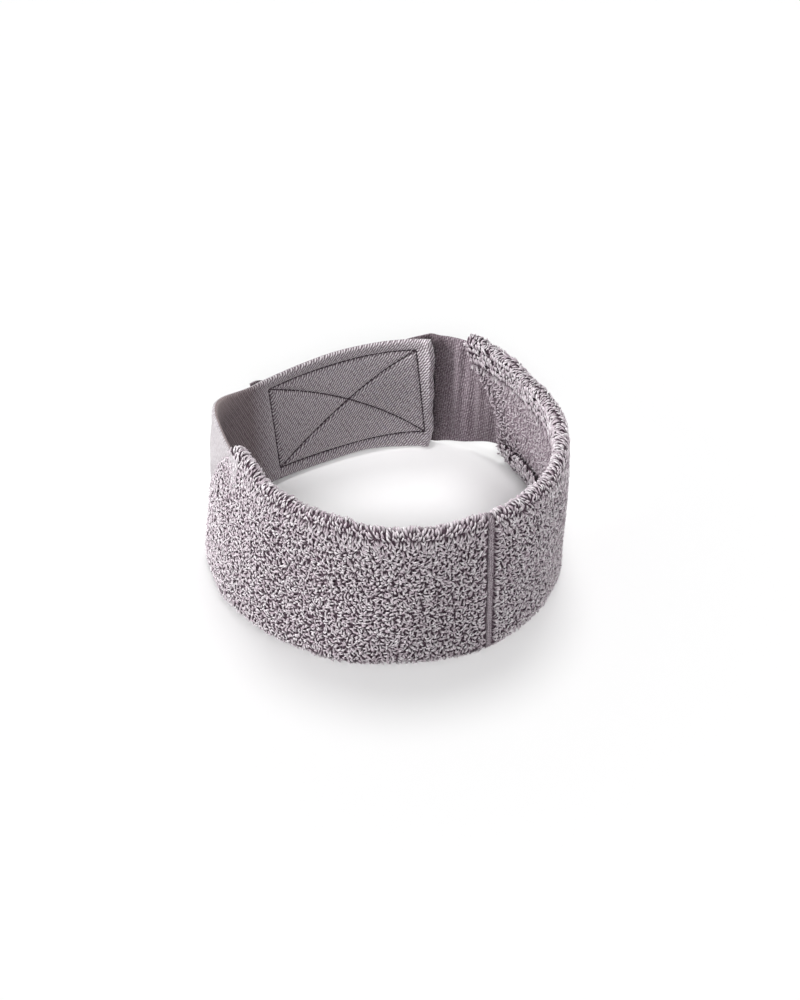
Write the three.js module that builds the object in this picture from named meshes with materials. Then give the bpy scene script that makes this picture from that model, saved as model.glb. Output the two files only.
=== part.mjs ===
// Adjustable spa headband: a terry band of two panels, closed at the back by a
// plain hook tab that lies inside a brushed loop strap.
//
// The ring stands on its lower edge. +Z is up, -Y is the wearer's forehead.
// Every piece is cut in a flat space and then wrapped round the ring:
//   x  distance outward from the wall's middle line, in millimetres
//   y  angle round the ring, in degrees, counter-clockwise from +X
//   z  height above the lower edge, in millimetres
// The wall is a spiral: it starts at the hook tab's free end, on the inside, and
// ends at the loop strap's free end, on the outside, a little over a turn later.

import * as THREE from "three";

// ---------------------------------------------------------------- ring

const RING_RADIUS = 83; // mean radius of the wall's middle line
const DEPTH_LOBE = 0.8; // makes the ring deeper than it is wide
const SLANT_LOBE = 1.0; // stretches it towards the strap's root
const CORNER_LOBE = 3.8; // rounds it out at the seam and at the two roots
const SKEW_LOBE = 1.2; // flattens it behind the hook tab
const TERRY_FLARE = 10; // mean outward lean of the terry's lower edge
const SIDE_FLARE = 4; // more of that lean at -X, less at +X
const BACK_FLARE = 5.5; // more of it at the back, less at the forehead
const TAB_FADE = [140, 206]; // angles between which the hook tab's end takes up the lean
const STRAP_FADE = [398, 432]; // angles between which the strap's end loses it again

const FACET = 5; // degrees between two folds of a bent sheet
const RISE_STEPS = 4; // steps up a leaning sheet, which is twisted as well as bent

// ---------------------------------------------------------------- layers

const LAYER_GAP = 0.3; // clearance between two cloth layers that touch
const JOINT_GAP = 3.2; // from a root's rib to the layers that swing wide as the end turns
const TONGUE_GAP = 0.9; // from the rib to the layer that reaches it, on which the end turns
const SEAM_GAP = 1.3; // the same at the seam, where the panels turn a little

const TERRY_HEIGHT = 75; // width of the finished band
const TERRY_THICKNESS = 2.3; // ground cloth and pile
const FACING_THICKNESS = 1.2; // smooth knit between the hems
const FOLD_RADIUS = 2.2; // outer rounding of a folded edge
const HEM_DEPTH = 13; // how far the terry is turned in

const PLAIN_BOTTOM = 3.5; // the tab's and strap's lower edge, above the band's
const PLAIN_DROP = 7.5; // their upper edge, below the band's

const TWILL_THICKNESS = 0.8;
const INTERFACING_THICKNESS = 0.6;
const HOOK_THICKNESS = 1.1;
const JERSEY_THICKNESS = 0.9;
const LOOP_THICKNESS = 1.0;

// ---------------------------------------------------------------- angles

const TAB_END = 74; // free end of the hook tab
const TAB_ROOT = 190; // where the tab leaves the terry
const SEAM_ANGLE = 300.5; // the seam between the two terry panels
const STRAP_ROOT = 416; // where the loop strap leaves the terry
const STRAP_END = 497; // free end of the loop strap, outside the tab

// ---------------------------------------------------------------- sewing

const SEAM_WIDTH = 2.6; // bare strip of the flat seam
const SEAM_THICKNESS = 1.6;
const RIB_WIDTH = 2.4; // raised seam allowance at each root
const RIB_THICKNESS = 3.4;
const RIB_INSET = 1; // a rib is this much shorter than the plain cloth
const THREAD = 0.7; // thickness of a stitch
const THREAD_DIP = 0.55; // its size between two stitches, as a share
const STITCH_PITCH = 4.4;
const HEM_STITCH_INSET = 10; // from the folded edge to the hem stitches
const BOX_INSET = 4.5; // from the tab's edges to the box stitching
const BOX_LENGTH = 90; // length of the box stitching round the ring
const HOOK_MARGIN = 3; // hook tape beyond the box stitching
const RETURN_LENGTH = 3.2; // cloth folded back over the tab's free end
const EDGE_STITCH_INSET = 3; // from the strap's edges to its edge stitches

// ---------------------------------------------------------------- derived sizes

const WALL = 2 * (TERRY_THICKNESS + LAYER_GAP) + FACING_THICKNESS;
const PLAIN_TOP = TERRY_HEIGHT - PLAIN_DROP;
const TAB_STACK =
  2 * TWILL_THICKNESS + INTERFACING_THICKNESS + HOOK_THICKNESS + 3 * LAYER_GAP;
const STRAP_STACK = JERSEY_THICKNESS + LOOP_THICKNESS + LAYER_GAP;
const SPIRAL_STEP = (TAB_STACK + STRAP_STACK) / 2 + LAYER_GAP;

// ---------------------------------------------------------------- colours

const cloth = (color, roughness) =>
  new THREE.MeshStandardMaterial({ color, roughness, metalness: 0 });

const TERRY = () => cloth(0xaea3ab, 1.0);
const KNIT = () => cloth(0x9b8e97, 0.95);
const TWILL = () => cloth(0x6f6369, 0.9);
const JERSEY = () => cloth(0x978a92, 0.95);
const PADDING = () => cloth(0xd9d4d0, 1.0);
const HOOKS = () => cloth(0x57505a, 0.7);
const GREY_THREAD = () => cloth(0x7b6d76, 0.85);
const DARK_THREAD = () => cloth(0x3d353b, 0.85);

// ---------------------------------------------------------------- wrapping

function wallRadius(degrees) {
  const a = THREE.MathUtils.degToRad(degrees);
  const turn = THREE.MathUtils.smoothstep(degrees, TAB_ROOT, STRAP_ROOT) - 0.5;
  const lobes =
    DEPTH_LOBE * Math.cos(2 * a) + CORNER_LOBE * Math.cos(3 * a) + SKEW_LOBE * Math.sin(4 * a);
  return RING_RADIUS + SLANT_LOBE * Math.sin(2 * a) - lobes + SPIRAL_STEP * turn;
}

function flare(degrees) {
  const a = THREE.MathUtils.degToRad(degrees);
  const lean = TERRY_FLARE - SIDE_FLARE * Math.cos(a) + BACK_FLARE * Math.sin(a);
  const tabSide = THREE.MathUtils.smoothstep(degrees, ...TAB_FADE);
  const strapSide = THREE.MathUtils.smoothstep(degrees, ...STRAP_FADE);
  return lean * (tabSide - strapSide);
}

const degreesFor = (length, at) => THREE.MathUtils.radToDeg(length / wallRadius(at));

const leanAt = (degrees, z) => flare(degrees) * (0.5 - z / TERRY_HEIGHT);

// Takes a shape from the flat space to its place round the ring.
function wrap(geometry) {
  const points = geometry.getAttribute("position");
  for (let i = 0; i < points.count; i++) {
    const degrees = points.getY(i);
    const z = points.getZ(i);
    const radius = wallRadius(degrees) + points.getX(i) + leanAt(degrees, z);
    const a = THREE.MathUtils.degToRad(degrees);
    points.setXYZ(i, radius * Math.cos(a), radius * Math.sin(a), z);
  }
  geometry.computeVertexNormals();
  return geometry;
}

// Leans a shape that was drawn in plan, at angles below half a turn.
function lean(geometry) {
  const points = geometry.getAttribute("position");
  for (let i = 0; i < points.count; i++) {
    const plan = new THREE.Vector2(points.getX(i), points.getY(i));
    const degrees = THREE.MathUtils.radToDeg(plan.angle());
    plan.setLength(plan.length() + leanAt(degrees, points.getZ(i)));
    points.setXY(i, plan.x, plan.y);
  }
  geometry.computeVertexNormals();
  return geometry;
}

// ---------------------------------------------------------------- cutting

const folds = (from, to) => Math.max(1, Math.ceil((to - from) / FACET));

// A flat layer: from one angle to another, between two offsets and two heights.
function layer(from, to, inner, outer, bottom, top) {
  const sheet = new THREE.BoxGeometry(
    outer - inner, to - from, top - bottom, 1, folds(from, to), RISE_STEPS);
  sheet.translate((inner + outer) / 2, (from + to) / 2, (bottom + top) / 2);
  return wrap(sheet);
}

// Adds a straight wall to a section, in steps that let it follow the lean.
function riseTo(section, offset, height) {
  const start = section.currentPoint.clone();
  const end = new THREE.Vector2(offset, height);
  for (let i = 1; i <= RISE_STEPS; i++) {
    const step = start.clone().lerp(end, i / RISE_STEPS);
    section.lineTo(step.x, step.y);
  }
}

// A terry panel's section: a wall whose two edges are turned in and hemmed.
function hemmedSection() {
  const half = WALL / 2;
  const slot = half - TERRY_THICKNESS;
  const inFold = FOLD_RADIUS - TERRY_THICKNESS / 2;
  const bend = half - FOLD_RADIUS;
  const top = TERRY_HEIGHT;
  const section = new THREE.Shape();
  section.moveTo(-half, HEM_DEPTH);
  section.lineTo(-half, FOLD_RADIUS);
  section.absarc(-bend, FOLD_RADIUS, FOLD_RADIUS, Math.PI, 1.5 * Math.PI);
  section.absarc(bend, FOLD_RADIUS, FOLD_RADIUS, 1.5 * Math.PI, 2 * Math.PI);
  riseTo(section, half, top - FOLD_RADIUS);
  section.absarc(bend, top - FOLD_RADIUS, FOLD_RADIUS, 0, 0.5 * Math.PI);
  section.absarc(-bend, top - FOLD_RADIUS, FOLD_RADIUS, 0.5 * Math.PI, Math.PI);
  section.lineTo(-half, top - HEM_DEPTH);
  section.lineTo(-slot, top - HEM_DEPTH);
  section.lineTo(-slot, top - TERRY_THICKNESS - inFold);
  section.lineTo(-slot + inFold, top - TERRY_THICKNESS);
  section.lineTo(slot - inFold, top - TERRY_THICKNESS);
  section.lineTo(slot, top - TERRY_THICKNESS - inFold);
  riseTo(section, slot, TERRY_THICKNESS + inFold);
  section.lineTo(slot - inFold, TERRY_THICKNESS);
  section.lineTo(-slot + inFold, TERRY_THICKNESS);
  section.lineTo(-slot, TERRY_THICKNESS + inFold);
  section.lineTo(-slot, HEM_DEPTH);
  return section;
}

function hemmedPanel(from, to) {
  const panel = new THREE.ExtrudeGeometry(hemmedSection(), {
    depth: to - from,
    steps: folds(from, to),
    bevelEnabled: false,
    curveSegments: 2,
  });
  panel.rotateX(Math.PI / 2);
  panel.translate(0, to, 0);
  return wrap(panel);
}

function facing(from, to) {
  const edge = TERRY_THICKNESS + LAYER_GAP + FOLD_RADIUS;
  const half = FACING_THICKNESS / 2;
  return layer(from, to, -half, half, edge, TERRY_HEIGHT - edge);
}

// A point of a flat outline, given as (offset, angle), in plan.
function inPlan(offset, degrees) {
  const a = THREE.MathUtils.degToRad(degrees);
  const radius = wallRadius(degrees) + offset;
  return new THREE.Vector2(radius * Math.cos(a), radius * Math.sin(a));
}

// The tab's inner cloth, with its end folded round the layers behind it. Its
// outline bends in plan, so it is drawn there and unwrapped for the lean.
function foldedTwill(inner, returnInner) {
  const face = inner + TWILL_THICKNESS;
  const returnOuter = returnInner + TWILL_THICKNESS;
  const foldInside = TAB_END + degreesFor(TWILL_THICKNESS, TAB_END);
  const returned = foldInside + degreesFor(RETURN_LENGTH, TAB_END);
  const count = folds(foldInside, TAB_ROOT);
  const angles = Array.from({ length: count + 1 }, (_, i) =>
    THREE.MathUtils.lerp(foldInside, TAB_ROOT, i / count));
  const outline = [
    ...angles.map((angle) => inPlan(inner, angle)),
    ...angles.reverse().map((angle) => inPlan(face, angle)),
    inPlan(returnInner, foldInside),
    inPlan(returnInner, returned),
    inPlan(returnOuter, returned),
    inPlan(returnOuter, foldInside),
    inPlan(returnInner, TAB_END),
    inPlan(face, TAB_END),
  ];
  const cloth = new THREE.ExtrudeGeometry(new THREE.Shape(outline), {
    depth: PLAIN_TOP - PLAIN_BOTTOM,
    steps: RISE_STEPS,
    bevelEnabled: false,
  });
  cloth.translate(0, 0, PLAIN_BOTTOM);
  return lean(cloth);
}

// ---------------------------------------------------------------- stitching

// A row of stitches between two points, each given as [angle, height]: one thread
// that swells at each stitch and dips between two.
function threadRow(offset, [fromAngle, fromHeight], [toAngle, toHeight]) {
  const middleAngle = (fromAngle + toAngle) / 2;
  const perMillimetre = degreesFor(1, middleAngle);
  const run = (toAngle - fromAngle) / perMillimetre;
  const rise = toHeight - fromHeight;
  const length = Math.hypot(run, rise);
  const count = Math.max(1, Math.round(length / STITCH_PITCH));
  const row = new THREE.BoxGeometry(THREAD, length, THREAD, 1, 2 * count, 1);
  const points = row.getAttribute("position");
  for (let i = 0; i < points.count; i++) {
    const ring = Math.round((points.getY(i) / length + 0.5) * 2 * count);
    const size = ring % 2 === 0 ? THREAD_DIP : 1;
    points.setX(i, points.getX(i) * size);
    points.setZ(i, points.getZ(i) * size);
  }
  row.rotateX(Math.atan2(rise, run));
  row.scale(1, perMillimetre, 1);
  row.translate(offset, middleAngle, (fromHeight + toHeight) / 2);
  return wrap(row);
}

// ---------------------------------------------------------------- building

const group = new THREE.Group();

function add(name, geometry, material) {
  const mesh = new THREE.Mesh(geometry, material);
  mesh.name = name;
  group.add(mesh);
}

// A terry panel with its facing, which may start before it, under the seam.
function addTerry(side, from, to, facingFrom = from) {
  const hemOffset = -WALL / 2 - LAYER_GAP - THREAD / 2;
  const endInset = degreesFor(LAYER_GAP, from);
  const low = HEM_STITCH_INSET;
  const high = TERRY_HEIGHT - HEM_STITCH_INSET;
  const start = from + endInset;
  const end = to - endInset;
  add(side + "_terry_panel", hemmedPanel(from, to), TERRY());
  add(side + "_facing", facing(facingFrom, to), KNIT());
  add(side + "_lower_hem_stitch", threadRow(hemOffset, [start, low], [end, low]), GREY_THREAD());
  add(side + "_upper_hem_stitch", threadRow(hemOffset, [start, high], [end, high]), GREY_THREAD());
}

// A root: the raised seam allowance that holds a plain end, and its stitches.
function addRoot(name, from, to) {
  const bottom = PLAIN_BOTTOM + RIB_INSET;
  const top = PLAIN_TOP - RIB_INSET;
  const half = RIB_THICKNESS / 2;
  const middle = (from + to) / 2;
  const offset = -half - LAYER_GAP - THREAD / 2;
  const row = threadRow(offset, [middle, bottom + THREAD], [middle, top - THREAD]);
  add(name + "_rib", layer(from, to, -half, half, bottom, top), TERRY());
  add(name + "_rib_stitch", row, GREY_THREAD());
}

function addSeam(from, to) {
  const middle = (from + to) / 2;
  const face = WALL / 2;
  const offset = face + LAYER_GAP + THREAD / 2;
  const column = degreesFor(SEAM_WIDTH / 4, middle);
  const low = FOLD_RADIUS + THREAD;
  const high = TERRY_HEIGHT - low;
  const left = threadRow(offset, [middle - column, low], [middle - column, high]);
  const right = threadRow(offset, [middle + column, low], [middle + column, high]);
  const strip = layer(from, to, face - SEAM_THICKNESS, face, FOLD_RADIUS, TERRY_HEIGHT - FOLD_RADIUS);
  add("panel_seam_strip", strip, KNIT());
  add("panel_seam_front_stitch", left, GREY_THREAD());
  add("panel_seam_side_stitch", right, GREY_THREAD());
}

function addTab() {
  const inner = -TAB_STACK / 2;
  const padding = inner + TWILL_THICKNESS + LAYER_GAP;
  const backing = padding + INTERFACING_THICKNESS + LAYER_GAP;
  const hooks = backing + TWILL_THICKNESS + LAYER_GAP;
  const layerEnd = TAB_END + degreesFor(TWILL_THICKNESS + 2 * LAYER_GAP, TAB_END);
  const bottom = PLAIN_BOTTOM;
  const top = PLAIN_TOP;
  const box = boxStitching();
  const tapeEnd = box.to + degreesFor(HOOK_MARGIN, TAB_END);
  add("tab_inner_cloth", foldedTwill(inner, hooks), TWILL());
  add("tab_interfacing",
    layer(layerEnd, TAB_ROOT, padding, padding + INTERFACING_THICKNESS, bottom, top), PADDING());
  add("tab_outer_cloth",
    layer(layerEnd, tabTongue, backing, backing + TWILL_THICKNESS, bottom, top), TWILL());
  add("hook_tape", layer(box.from, tapeEnd, hooks, hooks + HOOK_THICKNESS,
    box.bottom - HOOK_MARGIN, box.top + HOOK_MARGIN), HOOKS());
  addBoxStitching(box, inner - LAYER_GAP - THREAD / 2);
}

function boxStitching() {
  const from = TAB_END + degreesFor(BOX_INSET, TAB_END);
  return {
    from,
    to: from + degreesFor(BOX_LENGTH, (TAB_END + TAB_ROOT) / 2),
    bottom: PLAIN_BOTTOM + BOX_INSET,
    top: PLAIN_TOP - BOX_INSET,
  };
}

// A box with two diagonals; the second diagonal passes over the first.
function addBoxStitching(box, offset) {
  const [start, end] = [box.from + degreesFor(THREAD, TAB_END), box.to - degreesFor(THREAD, TAB_END)];
  const [low, high] = [box.bottom + THREAD, box.top - THREAD];
  const over = offset - THREAD - LAYER_GAP;
  const rows = {
    tab_box_stitch_lower: threadRow(offset, [start, box.bottom], [end, box.bottom]),
    tab_box_stitch_upper: threadRow(offset, [start, box.top], [end, box.top]),
    tab_box_stitch_end: threadRow(offset, [box.from, low], [box.from, high]),
    tab_box_stitch_root: threadRow(offset, [box.to, low], [box.to, high]),
    tab_cross_stitch_under: threadRow(offset, [start, low], [end, high]),
    tab_cross_stitch_over: threadRow(over, [start, high], [end, low]),
  };
  for (const [name, row] of Object.entries(rows)) add(name, row, DARK_THREAD());
}

function addStrap() {
  const inner = -STRAP_STACK / 2;
  const backing = inner + LOOP_THICKNESS + LAYER_GAP;
  const outer = backing + JERSEY_THICKNESS;
  const offset = outer + LAYER_GAP + THREAD / 2;
  const inset = degreesFor(EDGE_STITCH_INSET, STRAP_END);
  const start = STRAP_ROOT + inset;
  const end = STRAP_END - inset;
  const low = PLAIN_BOTTOM + EDGE_STITCH_INSET;
  const high = PLAIN_TOP - EDGE_STITCH_INSET;
  const rows = {
    strap_lower_stitch: threadRow(offset, [start, low], [end, low]),
    strap_upper_stitch: threadRow(offset, [start, high], [end, high]),
    strap_end_stitch: threadRow(offset, [end, low + THREAD], [end, high - THREAD]),
  };
  add("strap_loop_facing",
    layer(strapTongue, STRAP_END, inner, inner + LOOP_THICKNESS, PLAIN_BOTTOM, PLAIN_TOP), JERSEY());
  add("strap_outer_cloth",
    layer(STRAP_ROOT, STRAP_END, backing, outer, PLAIN_BOTTOM, PLAIN_TOP), JERSEY());
  for (const [name, row] of Object.entries(rows)) add(name, row, GREY_THREAD());
}

const ribAtTab = TAB_ROOT + degreesFor(JOINT_GAP, TAB_ROOT);
const tabTongue = ribAtTab - degreesFor(TONGUE_GAP, TAB_ROOT);
const terryStart = ribAtTab + degreesFor(RIB_WIDTH + LAYER_GAP, TAB_ROOT);
const ribAtStrap = STRAP_ROOT - degreesFor(JOINT_GAP, STRAP_ROOT);
const strapTongue = ribAtStrap + degreesFor(TONGUE_GAP, STRAP_ROOT);
const terryEnd = ribAtStrap - degreesFor(RIB_WIDTH + LAYER_GAP, STRAP_ROOT);
const halfSeam = degreesFor(SEAM_WIDTH / 2, SEAM_ANGLE);
const frontEnd = SEAM_ANGLE - halfSeam - degreesFor(LAYER_GAP, SEAM_ANGLE);
const sideTongue = frontEnd + degreesFor(TONGUE_GAP, SEAM_ANGLE);
const sideStart = SEAM_ANGLE + halfSeam + degreesFor(SEAM_GAP, SEAM_ANGLE);

addRoot("tab_root", ribAtTab, ribAtTab + degreesFor(RIB_WIDTH, TAB_ROOT));
addTerry("front", terryStart, frontEnd);
addSeam(SEAM_ANGLE - halfSeam, SEAM_ANGLE + halfSeam);
addTerry("side", sideStart, terryEnd, sideTongue);
addRoot("strap_root", ribAtStrap - degreesFor(RIB_WIDTH, STRAP_ROOT), ribAtStrap);
addTab();
addStrap();

// The origin is the middle of the footprint, on the surface that the ring stands on.
const extent = new THREE.Box3().setFromObject(group);
const middle = extent.getCenter(new THREE.Vector3());
group.position.set(-middle.x, -middle.y, -extent.min.z);
group.updateMatrixWorld(true);

export default group;
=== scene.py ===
# Adjustable spa headband on a white sweep: looped terry panels, a quilted hook tab
# and a brushed strap, dressed over the CAD frame. Lengths are millimetres until a
# mesh is made, and angles are degrees round the ring, counter-clockwise from +X.
import math
import bpy
import numpy as np
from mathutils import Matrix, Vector
from mathutils.bvhtree import BVHTree


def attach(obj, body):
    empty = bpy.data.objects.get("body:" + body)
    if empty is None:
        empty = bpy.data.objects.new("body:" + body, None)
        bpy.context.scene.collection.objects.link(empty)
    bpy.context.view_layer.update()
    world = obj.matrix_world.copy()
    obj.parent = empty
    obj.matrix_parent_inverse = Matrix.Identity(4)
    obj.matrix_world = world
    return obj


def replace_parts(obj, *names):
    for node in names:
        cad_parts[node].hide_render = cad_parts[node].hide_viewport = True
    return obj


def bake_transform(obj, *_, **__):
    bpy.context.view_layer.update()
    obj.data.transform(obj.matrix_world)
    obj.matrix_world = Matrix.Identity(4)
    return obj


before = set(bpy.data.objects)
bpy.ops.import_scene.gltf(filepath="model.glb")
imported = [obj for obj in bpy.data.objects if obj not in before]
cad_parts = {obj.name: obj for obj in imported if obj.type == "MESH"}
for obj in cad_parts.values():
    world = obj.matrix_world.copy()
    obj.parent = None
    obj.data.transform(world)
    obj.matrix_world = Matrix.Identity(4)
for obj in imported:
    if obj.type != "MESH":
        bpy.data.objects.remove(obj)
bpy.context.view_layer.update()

rng = np.random.default_rng(20)

# ---------------------------------------------------------------- the ring's shape

RING_RADIUS = 83.0
DEPTH_LOBE = 0.8
SLANT_LOBE = 1.0
CORNER_LOBE = 3.8
SKEW_LOBE = 1.2
TERRY_FLARE = 10.0
SIDE_FLARE = 4.0
BACK_FLARE = 5.5
TAB_FADE = (140.0, 206.0)
STRAP_FADE = (398.0, 432.0)
SPIRAL_STEP = 3.5
RING_CENTRE = (1.765, -0.410)    # where the ring's own centre lies in the frame
HEIGHT = 75.0

TAB_END, TAB_ROOT = 74.0, 190.0
SEAM = 300.5
STRAP_ROOT = 416.0
LAST_ANGLE = 520
PLAIN_LOW, PLAIN_HIGH = 3.5, 67.5


def ease(x, low, high):
    """A smooth step from 0 at low to 1 at high."""
    t = np.clip((np.asarray(x, float) - low) / (high - low), 0, 1)
    return t * t * (3 - 2 * t)


def wall_radius(deg):
    a = np.radians(deg)
    lobes = DEPTH_LOBE * np.cos(2 * a) + CORNER_LOBE * np.cos(3 * a) + SKEW_LOBE * np.sin(4 * a)
    spiral = SPIRAL_STEP * (ease(deg, TAB_ROOT, STRAP_ROOT) - 0.5)
    return RING_RADIUS + SLANT_LOBE * np.sin(2 * a) - lobes + spiral


def flare(deg):
    a = np.radians(deg)
    lean = TERRY_FLARE - SIDE_FLARE * np.cos(a) + BACK_FLARE * np.sin(a)
    return lean * (ease(deg, *TAB_FADE) - ease(deg, *STRAP_FADE))


def ring(n, deg, z):
    """Points n outside the wall's middle line, at these angles and heights."""
    n, deg, z = np.broadcast_arrays(np.asarray(n, float), deg, z)
    r = wall_radius(deg) + n + flare(deg) * (0.5 - z / HEIGHT)
    a = np.radians(deg)
    return np.stack([RING_CENTRE[0] + r * np.cos(a), RING_CENTRE[1] + r * np.sin(a), z], -1)


def degrees_for(length, at):
    """The angle that a length along the wall takes there."""
    return np.degrees(length / wall_radius(at))


def arc_length(deg):
    """Length along the wall from 0 degrees."""
    grid = np.arange(0, LAST_ANGLE + 1.0)
    r = wall_radius(grid)
    total = np.concatenate([[0], np.cumsum((r[1:] + r[:-1]) / 2 * math.radians(1))])
    return np.interp(deg, grid, total)


def angle_at(length):
    """The angle at a length along the wall, the inverse of arc_length."""
    grid = np.arange(0, LAST_ANGLE + 1.0)
    return np.interp(length, arc_length(grid), grid)


def outward(deg):
    """Unit vectors away from the ring's centre."""
    a = np.radians(deg)
    return np.stack([np.cos(a), np.sin(a), 0 * a], -1)


def frame_point(n, deg, z):
    return tuple(ring(n, deg, z) * 0.001)


def unit(v):
    return v / np.maximum(np.linalg.norm(v, axis=-1, keepdims=True), 1e-9)


# ---------------------------------------------------------------- meshes

def build(name, points, faces, material, uvs=None):
    """A smooth mesh object from points in millimetres and faces of one size."""
    mesh = bpy.data.meshes.new(name)
    mesh.vertices.add(len(points))
    mesh.vertices.foreach_set("co", (points * 0.001).astype(np.float32).ravel())
    corners = faces.shape[1]
    mesh.loops.add(faces.size)
    mesh.loops.foreach_set("vertex_index", faces.astype(np.int32).ravel())
    mesh.polygons.add(len(faces))
    mesh.polygons.foreach_set("loop_start", np.arange(0, faces.size, corners, dtype=np.int32))
    mesh.polygons.foreach_set("use_smooth", np.ones(len(faces), bool))
    mesh.update(calc_edges=True)
    for layer, values in (uvs or {}).items():
        mesh.uv_layers.new(name=layer).data.foreach_set("uv", values.astype(np.float32).ravel())
    mesh.materials.append(material)
    obj = bpy.data.objects.new(name, mesh)
    bpy.context.scene.collection.objects.link(obj)
    return obj


def grid_faces(rows, columns, wrap=False):
    i, j = np.meshgrid(np.arange(rows - 1), np.arange(columns if wrap else columns - 1), indexing="ij")
    i, j = i.ravel(), j.ravel()
    k = (j + 1) % columns
    return np.stack([i * columns + j, (i + 1) * columns + j, (i + 1) * columns + k, i * columns + k], 1)


def pillow(name, over, under, material, cloth_uv, under_material=None):
    """A closed piece between two grids of points with one shared rim."""
    rows, columns = over.shape[:2]
    top = grid_faces(rows, columns)
    inside = np.zeros((rows, columns), bool)
    inside[1:-1, 1:-1] = True
    index = np.arange(rows * columns).reshape(rows, columns)
    index[inside] = rows * columns + np.arange(inside.sum())
    bottom = index.ravel()[top][:, ::-1]
    points = np.concatenate([over.reshape(-1, 3), under[inside]])
    flat = cloth_uv.reshape(-1, 2)
    uv = np.concatenate([flat[top], flat[top][:, ::-1]]).reshape(-1, 2)
    made = build(name, points, np.concatenate([top, bottom]), material, {"Cloth": uv})
    if under_material is not None:
        made.data.materials.append(under_material)
        made.data.polygons.foreach_set("material_index", np.repeat([0, 1], len(top)).astype(np.int32))
    return made


def tubes(name, lines, radius, sides, material):
    """One mesh of many short yarns. lines is (yarns, points, 3); radius is (yarns, points)."""
    count, steps = lines.shape[:2]
    along = unit(np.gradient(lines, axis=1))
    side = np.zeros_like(lines)
    start = np.cross(along[:, 0], unit(lines[:, steps // 2] - lines[:, 0] + 1e-4))
    side[:, 0] = unit(start + 1e-6)
    for k in range(1, steps):
        carried = side[:, k - 1]
        side[:, k] = unit(carried - (carried * along[:, k]).sum(-1, keepdims=True) * along[:, k])
    up = np.cross(along, side)
    turn = np.arange(sides) * 2 * np.pi / sides
    rings = side[:, :, None] * np.cos(turn)[:, None] + up[:, :, None] * np.sin(turn)[:, None]
    points = lines[:, :, None] + rings * radius[:, :, None, None]
    one = grid_faces(steps, sides, wrap=True)
    faces = (one[None] + (np.arange(count) * steps * sides)[:, None, None]).reshape(-1, 4)
    i, j = np.meshgrid(np.arange(steps - 1), np.arange(sides), indexing="ij")
    i, j = i.ravel(), j.ravel()
    u = np.stack([j, j, j + 1, j + 1], 1) / sides
    v = np.stack([i, i + 1, i + 1, i], 1) / (steps - 1)
    seeds = rng.random(count)
    yarn = np.empty((count, len(one), 4, 2))
    yarn[..., 0] = seeds[:, None, None]
    yarn[..., 1] = v
    side_count = math.ceil(math.sqrt(count))
    cell = np.stack([np.arange(count) % side_count, np.arange(count) // side_count], 1)
    baked = np.stack([u, v], -1) * 0.8 + 0.1
    baked = (cell[:, None, None] + baked[None]) / side_count
    return build(name, points.reshape(-1, 3), faces, material, {"Yarn": yarn, "OFBake": baked})


# ---------------------------------------------------------------- materials

def shader(name, roughness=0.9, sheen=0.25):
    material = bpy.data.materials.new(name)
    material.use_nodes = True
    nodes = material.node_tree.nodes
    principled = nodes["Principled BSDF"]
    principled.inputs["Roughness"].default_value = roughness
    principled.inputs["Sheen Weight"].default_value = sheen
    principled.inputs["Sheen Roughness"].default_value = 0.5
    principled.inputs["Specular IOR Level"].default_value = 0.25
    return material, material.node_tree, principled


def node(tree, kind, inputs=None, **settings):
    made = tree.nodes.new(kind)
    for key, value in settings.items():
        setattr(made, key, value)
    for key, value in (inputs or {}).items():
        if isinstance(value, bpy.types.NodeSocket):
            tree.links.new(value, made.inputs[key])
        else:
            made.inputs[key].default_value = value
    return made


def maths(tree, operation, a, b=0.0, clamp=False):
    return node(tree, "ShaderNodeMath", {0: a, 1: b}, operation=operation, use_clamp=clamp).outputs[0]


def between(tree, value, low, high):
    return node(tree, "ShaderNodeMapRange", {"Value": value, "From Min": low, "From Max": high}).outputs[0]


def ramp(tree, factor, stops):
    made = node(tree, "ShaderNodeValToRGB", {"Fac": factor})
    elements = made.color_ramp.elements
    while len(elements) < len(stops):
        elements.new(0.5)
    for element, (position, colour) in zip(elements, stops):
        element.position = position
        element.color = (*colour, 1)
    return made.outputs["Color"]


def mix(tree, factor, a, b, blend="MIX"):
    made = node(tree, "ShaderNodeMix", data_type="RGBA", blend_type=blend)
    for key, value in ((0, factor), (6, a), (7, b)):
        if isinstance(value, bpy.types.NodeSocket):
            tree.links.new(value, made.inputs[key])
        else:
            made.inputs[key].default_value = (*value, 1) if isinstance(value, tuple) else value
    return made.outputs[2]


def noise(tree, scale, detail=2.0, vector=None, roughness=0.5):
    made = node(tree, "ShaderNodeTexNoise", {"Scale": scale, "Detail": detail, "Roughness": roughness})
    if vector is None:
        vector = node(tree, "ShaderNodeTexCoord").outputs["Object"]
    tree.links.new(vector, made.inputs["Vector"])
    return made.outputs["Fac"]


def bump(tree, principled, height, distance, strength=1.0):
    made = node(tree, "ShaderNodeBump", {"Height": height, "Distance": distance, "Strength": strength})
    tree.links.new(made.outputs["Normal"], principled.inputs["Normal"])


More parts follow.
